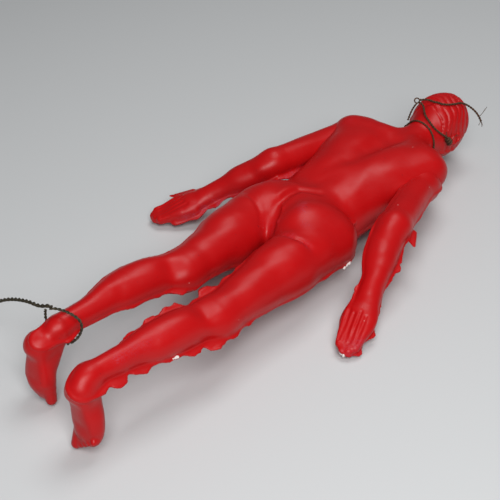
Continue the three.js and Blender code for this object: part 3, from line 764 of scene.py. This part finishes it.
def smooth_path(points, step):
    """Points spaced evenly along a curve through the given ones."""
    points = np.array(points, float)
    ends = np.vstack([2 * points[0] - points[1], points, 2 * points[-1] - points[-2]])
    fine = []
    for i in range(1, len(ends) - 2):
        a, b, c, d = ends[i - 1:i + 3]
        for t in np.linspace(0, 1, 24, endpoint=False):
            fine.append(0.5 * (2 * b + (c - a) * t + (2 * a - 5 * b + 4 * c - d) * t**2
                               + (3 * b - a - 3 * c + d) * t**3))
    fine = np.array(fine + [ends[-2]])
    run = np.concatenate([[0], np.cumsum(np.linalg.norm(np.diff(fine, axis=0), axis=1))])
    marks = np.linspace(0, run[-1], max(4, int(run[-1] / step)))
    return np.stack([np.interp(marks, run, fine[:, k]) for k in range(3)], -1)


def drape(points, clearance):
    """Lifts the points that are in or on the skin until they clear it."""
    points = points.copy()
    for _ in range(4):
        depth = body_field(points)
        slope = np.stack([body_field(points + 0.3 * axis) - depth for axis in np.eye(3)], -1)
        slope /= np.linalg.norm(slope, axis=1, keepdims=True) + 1e-9
        points += slope * np.maximum(clearance - depth, 0)[:, None]
    for _ in range(2):
        points[1:-1] = points[1:-1] * 0.5 + (points[:-2] + points[2:]) * 0.25
    return points


def strand_nodes():
    """Geometry nodes that turn a line of edges into strands laid round it."""
    tree = bpy.data.node_groups.new("laid_strands", "GeometryNodeTree")
    face = tree.interface
    face.new_socket(name="Geometry", in_out="INPUT", socket_type="NodeSocketGeometry")
    for name, kind in (("Strands", "NodeSocketInt"), ("Lay radius", "NodeSocketFloat"),
                       ("Strand radius", "NodeSocketFloat"), ("Turns per metre", "NodeSocketFloat"),
                       ("Material", "NodeSocketMaterial")):
        face.new_socket(name=name, in_out="INPUT", socket_type=kind)
    face.new_socket(name="Geometry", in_out="OUTPUT", socket_type="NodeSocketGeometry")
    link = tree.links.new
    given = add(tree, "NodeGroupInput")
    line = add(tree, "GeometryNodeMeshToCurve")
    link(given.outputs["Geometry"], line.inputs[0])
    copies = add(tree, "GeometryNodeDuplicateElements", domain="SPLINE")
    link(line.outputs[0], copies.inputs["Geometry"])
    link(given.outputs["Strands"], copies.inputs["Amount"])
    place = add(tree, "GeometryNodeSplineParameter")
    turned = math_node(tree, "MULTIPLY", place.outputs["Length"], given.outputs["Turns per metre"])
    share = math_node(tree, "DIVIDE", copies.outputs["Duplicate Index"], given.outputs["Strands"])
    angle = math_node(tree, "MULTIPLY", math_node(tree, "ADD", turned, share), 2 * math.pi)
    tangent = add(tree, "GeometryNodeInputTangent").outputs[0]
    normal = add(tree, "GeometryNodeInputNormal").outputs[0]
    cross = add(tree, "ShaderNodeVectorMath", operation="CROSS_PRODUCT")
    link(tangent, cross.inputs[0])
    link(normal, cross.inputs[1])
    offsets = []
    for direction, wave in ((normal, "COSINE"), (cross.outputs[0], "SINE")):
        part = add(tree, "ShaderNodeVectorMath", operation="SCALE")
        link(direction, part.inputs[0])
        swing = math_node(tree, "MULTIPLY", math_node(tree, wave, angle), given.outputs["Lay radius"])
        link(swing, part.inputs["Scale"])
        offsets.append(part.outputs[0])
    total = add(tree, "ShaderNodeVectorMath", operation="ADD")
    link(offsets[0], total.inputs[0])
    link(offsets[1], total.inputs[1])
    moved = add(tree, "GeometryNodeSetPosition")
    link(copies.outputs["Geometry"], moved.inputs["Geometry"])
    link(total.outputs[0], moved.inputs["Offset"])
    ring = add(tree, "GeometryNodeCurvePrimitiveCircle", mode="RADIUS")
    ring.inputs["Resolution"].default_value = 8
    link(given.outputs["Strand radius"], ring.inputs["Radius"])
    skin = add(tree, "GeometryNodeCurveToMesh")
    skin.inputs["Fill Caps"].default_value = True
    link(moved.outputs[0], skin.inputs["Curve"])
    link(ring.outputs[0], skin.inputs["Profile Curve"])
    smooth = add(tree, "GeometryNodeSetShadeSmooth")
    link(skin.outputs[0], smooth.inputs[0])
    real = add(tree, "GeometryNodeRealizeInstances")
    link(smooth.outputs[0], real.inputs[0])
    painted = add(tree, "GeometryNodeSetMaterial")
    link(real.outputs[0], painted.inputs["Geometry"])
    link(given.outputs["Material"], painted.inputs["Material"])
    link(painted.outputs[0], add(tree, "NodeGroupOutput").inputs[0])
    return tree


STRAND_NODES = strand_nodes()


def laid_wire(name, lines, width, material, strands=2, pitch=4.2, closed=False):
    """Strands laid round each line; width is over all of them and pitch the length of one turn."""
    vertices, edges = [], []
    for line in lines:
        start = len(vertices)
        vertices += (np.array(line) * MM).tolist()
        edges += [(start + i, start + i + 1) for i in range(len(line) - 1)]
        if closed:
            edges.append((start + len(line) - 1, start))
    mesh = bpy.data.meshes.new(name)
    mesh.from_pydata(vertices, edges, [])
    guide = bpy.data.objects.new(name + "_guide", mesh)
    bpy.context.scene.collection.objects.link(guide)
    modifier = guide.modifiers.new("strands", "NODES")
    modifier.node_group = STRAND_NODES
    names = {i.name: i.identifier for i in STRAND_NODES.interface.items_tree if i.in_out == "INPUT"}
    strand = width / 2 if strands == 1 else width * 0.27
    modifier[names["Strands"]] = strands
    modifier[names["Lay radius"]] = 0.0 if strands == 1 else (width / 2 - strand) * MM
    modifier[names["Strand radius"]] = strand * MM
    modifier[names["Turns per metre"]] = 1000 / pitch
    modifier[names["Material"]] = material
    guide.update_tag()
    made = bpy.data.meshes.new_from_object(guide.evaluated_get(bpy.context.evaluated_depsgraph_get()))
    made.name = name
    bpy.data.objects.remove(guide)
    piece = bpy.data.objects.new(name, made)
    bpy.context.scene.collection.objects.link(piece)
    return piece


def wire_piece(name, body, slot, lines, width, **options):
    material = NECK_WIRE if slot == "neck_wire" else IRON_WIRE
    piece = laid_wire(name, lines, width, material, **options)
    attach(piece, body)
    return piece


def hairs(origin, tips, sag):
    """Fine loose hairs from one point, each drooping by sag."""
    lines = []
    for tip in tips:
        middle = between(origin, tip, 0.5) + vec(0, 0, sag)
        lines.append(smooth_path([origin, middle, tip], 0.5))
    return lines


def neck_rigging():
    centre = at(135.5, 1.5, 27)
    ring = []
    for angle in np.linspace(0, 2 * math.pi, 90, endpoint=False):
        out = vec(0.10 * math.sin(angle), math.cos(angle), math.sin(angle))
        radius = np.linspace(9, 19, 120)
        depth = body_field(centre + radius[:, None] * out)
        ring.append(centre + (radius[np.argmax(depth > 0)] + 0.55) * out)
    loop = wire_piece("neck_loop_strands", "head", "neck_wire", [ring], NECK_WIDTH, pitch=3.4, closed=True)
    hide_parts("neck_wire_loop")
    eye = at(142, 9, 52.6)
    lead = [(135.4, 10.4, 40.5), (137.6, 10.2, 45), (139.8, 9.6, 48.6), (141.2, 8.5, 51.1)]
    lead = drape(smooth_path(on_body(lead), 0.4), 0.6)
    lead = wire_piece("neck_lead_strands", "head", "neck_wire", [lead], 1.3, pitch=3.4)
    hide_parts("neck_wire_lead")
    across, upward = unit(vec(0.725, -0.688, 0)), unit(vec(0.405, 0.427, 0.809))
    eye_radius = 1.6
    turn = [eye + eye_radius * (math.cos(a) * across + math.sin(a) * upward)
            for a in np.linspace(0, 2 * math.pi, 40, endpoint=False)]
    hoop = wire_piece("eye_hoop", "head", "neck_wire", [turn], 0.85, strands=1, closed=True)
    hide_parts("hanging_eye")


def long_neck_cord():
    long_way = [(143.3, 7.9, 52.9), (147, 4.5, 52.8), (149.8, 1.2, 51.4), (152.6, -5.2, 50.4),
                (159, -8.6, 49.4), (164.7, -9.4, 48.2), (168.8, -11.6, 45.8), (170.8, -15.6, 43),
                (171.6, -19, 39.8), (171.4, -21.8, 36.4)]
    long_way = drape(smooth_path(on_body(long_way), 0.4), WIRE_CLEARANCE)
    cord = laid_wire("neck_cord_long", [long_way], NECK_WIDTH, NECK_WIRE, pitch=3.6)
    end = long_way[-1]
    droops = ((1.5, -0.6, -3.4), (-0.8, -1.6, -3.2), (2.0, 0.9, -2.6), (-1.5, 0.6, -2.6))
    tips = [end + vec(*droop) for droop in droops]
    stray = long_way[-9]
    stray_tips = [stray + vec(8.0, 1.0, 2.2), stray + vec(8.8, 0.4, 3.6)]
    loose = hairs(end, tips, 0.3) + hairs(stray, stray_tips, -0.5)
    fray = laid_wire("neck_cord_fray", loose, 0.34, NECK_WIRE, strands=1)
    declare_cord(cord, long_way, NECK_WIDTH, "bare", "medium", "head", "neck_wire", [fray],
                 "neck_wire_long", "neck_wire_frayed_end")


def short_neck_cord():
    short_way = [(142.0, 8.0, 51.6), (143, 7, 51.3), (143, 4.4, 49.7), (140.2, 0.6, 46.2), (138.8, -4, 43.6),
                 (138.8, -8.8, 40), (141.4, -12.6, 36.2), (143.4, -15.2, 34), (145.4, -16.8, 30.2),
                 (146, -16.8, 28.0)]
    short_way = drape(smooth_path(on_body(short_way), 0.4), WIRE_CLEARANCE)
    cord = laid_wire("neck_cord_short", [short_way], NECK_WIDTH, NECK_WIRE, pitch=3.6)
    near, end = short_way[-16], short_way[-1]
    along, side = unit(end - near), unit(np.cross(end - near, vec(0.3, 0.2, 1)))
    other_side = np.cross(along, side)
    knot_length, knot_radius, knot_turning = 5.4, 1.6, 17
    turns = []
    for t in np.linspace(0, 1, 60):
        around = math.cos(t * knot_turning) * side + math.sin(t * knot_turning) * other_side
        turns.append(near + along * knot_length * t + knot_radius * around)
    knot = laid_wire("neck_cord_knot", [turns], 1.3, NECK_WIRE, strands=1)
    tail = drape(smooth_path([end, end + vec(3.5, 0.6, 2.6), end + vec(8.5, 1.6, 3.4)], 0.5), 0.25)
    loose = hairs(near, [near + vec(0.6, 1.4, 3.8), near + vec(-0.6, 0.4, 2.8)], 0.2) + [tail]
    wisps = laid_wire("neck_cord_wisps", loose, 0.32, NECK_WIRE, strands=1)
    declare_cord(cord, short_way, NECK_WIDTH, "knot", "medium", "head", "neck_wire", [knot, wisps],
                 "neck_wire_short", "neck_wire_knot")


def declare_cord(cord, way, width, far_end, stiffness, body, slot, others, *nodes):
    for piece in (cord, *others):
        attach(piece, body)
    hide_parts(*nodes)


def ankle_rigging():
    loop = [(-149.6, 12.6, 51.6), (-147.2, 8.5, 52), (-145, 2, 51.6), (-143.2, -3.4, 48.6),
            (-144, -4.6, 43.6), (-146.6, -2.4, 38), (-148.6, 3, 34.2), (-149.4, 9.5, 33.2),
            (-149.4, 15.6, 35.2), (-149, 19, 40.4), (-149.2, 18, 46.2), (-149.6, 16.6, 48.6)]
    loop = drape(smooth_path(on_body(loop), 0.4), WIRE_CLEARANCE)
    piece = wire_piece("ankle_loop_strands", "shin_left", "ankle_wire", [loop], ANKLE_WIDTH, pitch=5.0)
    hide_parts("ankle_wire_loop")
    tail = [(-148.9, 11.4, 52.9), (-149.8, 14.0, 52.6), (-150.7, 20.8, 49.6), (-150.4, 31.7, 46.2),
            (-150.4, 45.8, 40), (-151.6, 58, 33), (-153, 69, 23.5), (-154, 78, 13.5), (-154.6, 86, 6),
            (-155, 92, 2.6), (-155.5, 97, 1.6)]
    tail = drape(smooth_path(on_body(tail), 0.4), WIRE_CLEARANCE)
    cord = laid_wire("ankle_tail_strands", [tail], TAIL_WIDTH, IRON_WIRE, pitch=8.0)
    declare_cord(cord, tail, TAIL_WIDTH, "bare", "stiff", "shin_left", "ankle_wire", [], "ankle_wire_tail")


# ---------------------------------------------------------------- chips of bare foam
def touch(field, start, inward):
    """Where a line from outside first meets a surface."""
    points = start + np.arange(0, 40, 0.15)[:, None] * inward
    return points[np.argmax(field(points) < 0)]


def chip(name, body, field, starts, inward, width):
    """A sliver of bare foam where the skin has come off an edge."""
    a, b = [touch(field, start, unit(inward)) for start in on_body(starts)]

    def worn(p):
        return rod_field(p, a, b, width, width * 0.7) + 0.8 * (patchy(p[:, 0] * 1.3, p[:, 1], 1.1) - 0.5)

    points, quads = sculpt(worn, np.minimum(a, b) - 3, np.maximum(a, b) + 3, 0.2)
    piece = mesh_from(name, points, quads, FOAM)
    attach(piece, body)


def foam_chips():
    right_arm = lambda p: whole_arm_field(p, RIGHT)
    to_left, to_head = vec(0, 1, 0), vec(1, 0, 0)
    hip = [(15, -60, 18.5), (9.5, -60, 18)]
    shin = [(-117, -60, 33), (-119.5, -60, 33.4)]
    hand = [(-48, -83, 3.4), (-48, -79.5, 3.2)]
    chip("hip_foam_chip", "torso", body_field, hip, to_left, 0.9)
    chip("shin_foam_chip", "shin_right", body_field, shin, to_left, 0.85)
    chip("hand_foam_chip", "forearm_right", right_arm, hand, to_head, 0.9)


# ---------------------------------------------------------------- the CAD nodes behind the skins
SLEEVE_OF = {"head": "neck_flex_sleeve"}
for side_name in SIDE_NAME.values():
    for body, bend in (("upper_arm", "shoulder"), ("forearm", "elbow"), ("thigh", "hip"), ("shin", "knee")):
        SLEEVE_OF[f"{body}_{side_name}"] = f"{bend}_flex_sleeve_{side_name}"


def stand_for_cad(skins):
    """Hides the CAD skins, foam cores and flex sleeves that each sculpted skin stands for."""
    for name, piece in skins.items():
        body = name.replace("_skin", "")
        nodes = [f"{body}_back_skin", f"{body}_front_skin", f"{body}_foam_core"]
        if body in SLEEVE_OF:
            nodes.append(SLEEVE_OF[body])
        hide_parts(*nodes)


def dress_cad_metal():
    for name, node in frame["nodes"].items():
        if name.endswith("_armature"):
            metal = ROD
        elif "neck_wire" in name or name == "hanging_eye":
            metal = NECK_WIRE
        elif "ankle_wire" in name:
            metal = IRON_WIRE
        else:
            continue
        node.data.materials.clear()
        node.data.materials.append(metal)


# ---------------------------------------------------------------- stage
# name, place in metres, width in metres, power in watts
LAMPS = [("window", (-0.50, -0.62, 0.80), 0.6, 11.5), ("ceiling", (0.32, 0.02, 1.1), 0.55, 5.0)]
SKY_BLUE, SKY_STRENGTH = (0.92, 0.96, 1.0, 1), 0.10
TABLE_GREY = (0.56, 0.57, 0.575, 1)


def make_stage():
    bpy.ops.mesh.primitive_plane_add(size=8, location=(0, 0, 0))
    floor = bpy.context.object
    floor.name = "floor"
    material, tree, shader = new_material("table_top")
    shader.inputs["Base Color"].default_value = TABLE_GREY
    shader.inputs["Roughness"].default_value = 0.55
    floor.data.materials.append(material)
    world = bpy.data.worlds.new("studio")
    bpy.context.scene.world = world
    world.use_nodes = True
    sky = world.node_tree.nodes["Background"]
    sky.inputs[0].default_value = SKY_BLUE
    sky.inputs[1].default_value = SKY_STRENGTH
    for name, place, size, power in LAMPS:
        light = bpy.data.lights.new(name, "AREA")
        light.size, light.energy = size, power
        lamp = bpy.data.objects.new(name, light)
        bpy.context.scene.collection.objects.link(lamp)
        lamp.location = place
        lamp.rotation_mode = "QUATERNION"
        lamp.rotation_quaternion = (Vector(place) - Vector((0, 0, 0.02))).to_track_quat("Z", "Y")
    bpy.context.scene.view_settings.view_transform = "Standard"


skins = build_body()
for side in (LEFT, RIGHT):
    upper, lower = build_arm(side)
    skins[f"upper_arm_{SIDE_NAME[side]}_skin"] = upper
    skins[f"forearm_{SIDE_NAME[side]}_skin"] = lower
stand_for_cad(skins)
dress_cad_metal()
neck_rigging()
long_neck_cord()
short_neck_cord()
ankle_rigging()
foam_chips()
make_stage()
